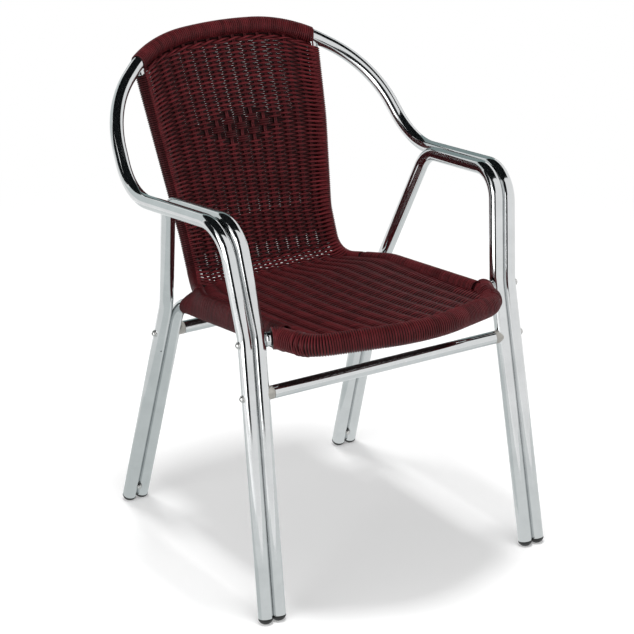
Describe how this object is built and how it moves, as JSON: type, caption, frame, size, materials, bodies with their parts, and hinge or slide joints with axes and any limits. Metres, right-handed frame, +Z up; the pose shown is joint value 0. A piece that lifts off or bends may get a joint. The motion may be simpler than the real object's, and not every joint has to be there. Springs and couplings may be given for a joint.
{
  "type": "stacking armchair",
  "caption": "Stacking bistro armchair: polished double-tube aluminium frame, one tube arching from arm to arm over the back, with a tightly woven wicker seat and back and capped legs.",
  "frame": {"origin": "middle of the floor rectangle under the chair, on the floor", "axes": "+Z up, the chair faces -Y, +X to the right as seen from the front"},
  "size_m": [0.5852, 0.6728, 0.839],
  "materials": {
    "polished_aluminium": "polished on arms and front legs, satin on rear legs",
    "wicker": "burgundy round plastic wicker strand, slightly glossy",
    "ferrule_plastic": "grey-beige moulded ferrule",
    "fastener_steel": "plated button-head bolts, washers and screws",
    "foot_rubber": "black"
  },
  "bodies": {
    "root": {"arch_tube": "polished_aluminium", "side_tube_right": "polished_aluminium", "side_tube_left": "polished_aluminium", "seat_rail_right": "polished_aluminium", "seat_rail_left": "polished_aluminium", "front_bar": "polished_aluminium", "bar_insert_right": "fastener_steel", "bar_insert_left": "fastener_steel", "front_stretcher": "polished_aluminium", "rear_stretcher": "polished_aluminium", "ferrule_front_right": "ferrule_plastic", "ferrule_front_left": "ferrule_plastic", "ferrule_rear_right": "ferrule_plastic", "ferrule_rear_left": "ferrule_plastic", "bolt_front_upper_right": "fastener_steel", "bolt_front_upper_left": "fastener_steel", "washer_front_upper_right": "fastener_steel", "washer_front_upper_left": "fastener_steel", "bolt_front_lower_right": "fastener_steel", "bolt_front_lower_left": "fastener_steel", "washer_front_lower_right": "fastener_steel", "washer_front_lower_left": "fastener_steel", "bolt_rear_right": "fastener_steel", "bolt_rear_left": "fastener_steel", "washer_rear_right": "fastener_steel", "washer_rear_left": "fastener_steel", "tie_screw_right": "fastener_steel", "tie_screw_left": "fastener_steel", "foot_front_outer_right": "foot_rubber", "foot_front_outer_left": "foot_rubber", "foot_front_inner_right": "foot_rubber", "foot_front_inner_left": "foot_rubber", "foot_rear_outer_right": "foot_rubber", "foot_rear_outer_left": "foot_rubber", "foot_rear_inner_right": "foot_rubber", "foot_rear_inner_left": "foot_rubber", "border_rod_right": "wicker", "border_rod_left": "wicker", "arch_wrap": "wicker", "bar_wrap": "wicker", "border_wrap_right": "wicker", "border_wrap_left": "wicker", "side_roll_right": "wicker", "side_roll_left": "wicker", "back_weave": "wicker", "seat_weave": "wicker", "stake_left_6": "wicker", "stake_left_5": "wicker", "stake_left_4": "wicker", "stake_left_3": "wicker", "stake_left_2": "wicker", "stake_left_1": "wicker", "stake_centre": "wicker", "stake_right_1": "wicker", "stake_right_2": "wicker", "stake_right_3": "wicker", "stake_right_4": "wicker", "stake_right_5": "wicker", "stake_right_6": "wicker"}
  },
  "joints": []
}
